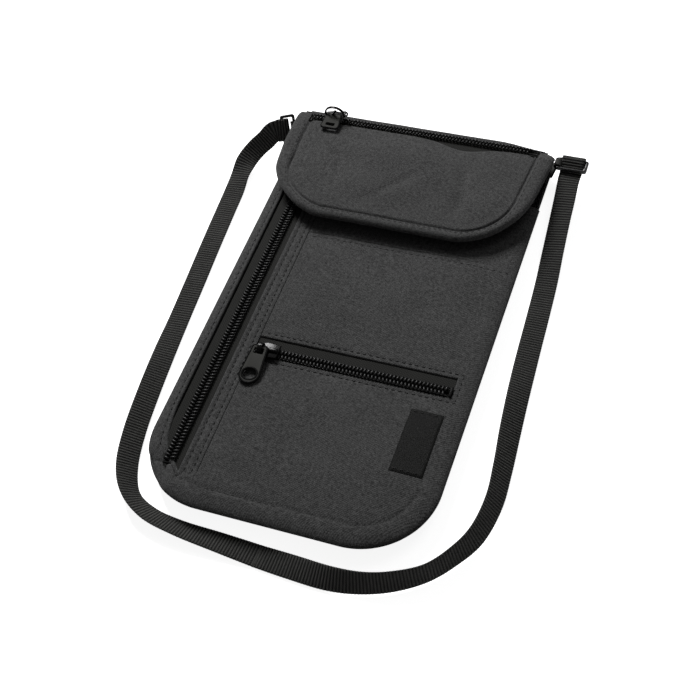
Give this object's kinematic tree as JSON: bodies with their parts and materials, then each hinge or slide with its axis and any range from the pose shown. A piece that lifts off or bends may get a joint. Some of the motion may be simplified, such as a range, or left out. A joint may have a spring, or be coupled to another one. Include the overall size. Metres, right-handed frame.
{
  "type": "neck pouch wallet",
  "caption": "Flat zipped travel pouch with a front flap over its main pocket, zips on the front, side and top edge, and a webbing neck strap on plastic rings.",
  "frame": {"origin": "on the surface that the pouch lies on, under the middle of the pouch without its strap and rings", "axes": "+X to the right edge seen from the front, +Y to the flap end, +Z out of the front"},
  "size_m": [0.1756, 0.2322, 0.0222],
  "materials": {
    "fabric": "charcoal heather polyester",
    "lining": "plain black lining",
    "tape": "black woven tape",
    "coil": "black nylon coil",
    "metal": "black enamel",
    "webbing": "black ribbed webbing",
    "label": "black damask label, bare",
    "plastic": "black moulded plastic"
  },
  "bodies": {
    "pouch": {"back_panel": "fabric", "edge_seam": "fabric", "top_gusset": "fabric", "side_strip": "fabric", "side_zip_facing": "fabric", "front_upper_panel": "fabric", "front_lower_panel": "fabric", "divider_panel": "lining", "pocket_lining": "lining", "side_zip_left_tape": "tape", "side_zip_right_tape": "tape", "front_zip_upper_tape": "tape", "front_zip_lower_tape": "tape", "loop_patch": "tape", "side_zip_left_coil": "coil", "side_zip_right_coil": "coil", "front_zip_upper_coil": "coil", "front_zip_lower_coil": "coil", "side_zip_end_stop": "metal", "side_zip_left_stop": "metal", "side_zip_right_stop": "metal", "front_zip_upper_stop": "metal", "front_zip_lower_stop": "metal", "front_zip_end_stop": "metal", "left_tab": "webbing", "right_tab": "webbing", "strap_left_run": "webbing", "strap_right_run": "webbing", "woven_label": "label"},
    "flap": {"flap_outer": "fabric", "flap_lining": "lining", "hook_patch": "tape", "top_zip_left_tab": "fabric", "top_zip_right_tab": "fabric", "top_zip_front_tape": "tape", "top_zip_rear_tape": "tape", "top_zip_front_coil": "coil", "top_zip_rear_coil": "coil", "top_zip_rear_stop": "metal", "top_zip_front_stop": "metal", "top_zip_end_stop": "metal"},
    "side_slider": {"side_slider": "metal"},
    "side_puller": {"side_puller": "metal"},
    "front_slider": {"front_slider": "metal"},
    "front_puller": {"front_puller": "metal"},
    "top_slider": {"top_slider": "metal"},
    "top_puller": {"top_puller": "metal"},
    "left_ring": {"left_ring": "plastic"},
    "right_ring": {"right_ring": "plastic"}
  },
  "joints": [
    {"name": "flap_hinge", "type": "hinge", "parent": "pouch", "child": "flap", "pos_m": [0, 0.1072, 0.0164], "axis": [-1, 0, 0], "range_deg": [0, 180]},
    {"name": "side_zip_slide", "type": "slide", "parent": "pouch", "child": "side_slider", "axis": [0, -1, 0], "range_m": [-0.007, 0.15]},
    {"name": "side_puller_swivel", "type": "hinge", "parent": "side_slider", "child": "side_puller", "pos_m": [-0.0487, 0.064, 0.0137], "axis": [0, 0, 1], "range_deg": [-20, 20]},
    {"name": "front_zip_slide", "type": "slide", "parent": "pouch", "child": "front_slider", "axis": [1, 0, 0], "range_m": [0, 0.076]},
    {"name": "front_puller_flip", "type": "hinge", "parent": "front_slider", "child": "front_puller", "pos_m": [-0.0282, -0.03, 0.0137], "axis": [-1, 0, 0], "range_deg": [0, 150]},
    {"name": "top_zip_slide", "type": "slide", "parent": "flap", "child": "top_slider", "axis": [1, 0, 0], "range_m": [-0.005, 0.096]},
    {"name": "top_puller_flip", "type": "hinge", "parent": "top_slider", "child": "top_puller", "pos_m": [-0.0448, 0.1036, 0.0206], "axis": [-1, 0, 0], "range_deg": [0, 90]},
    {"name": "left_ring_swing", "type": "hinge", "parent": "pouch", "child": "left_ring", "pos_m": [-0.0657, 0.1006, 0.0102], "axis": [-0.2599, 0.5697, 0.7796], "range_deg": [-35, 60], "deforming": ["strap_left_run"]},
    {"name": "right_ring_swing", "type": "hinge", "parent": "pouch", "child": "right_ring", "pos_m": [0.0647, 0.1034, 0.013], "axis": [0, -1, 0], "range_deg": [-35, 60], "deforming": ["strap_right_run"]}
  ]
}
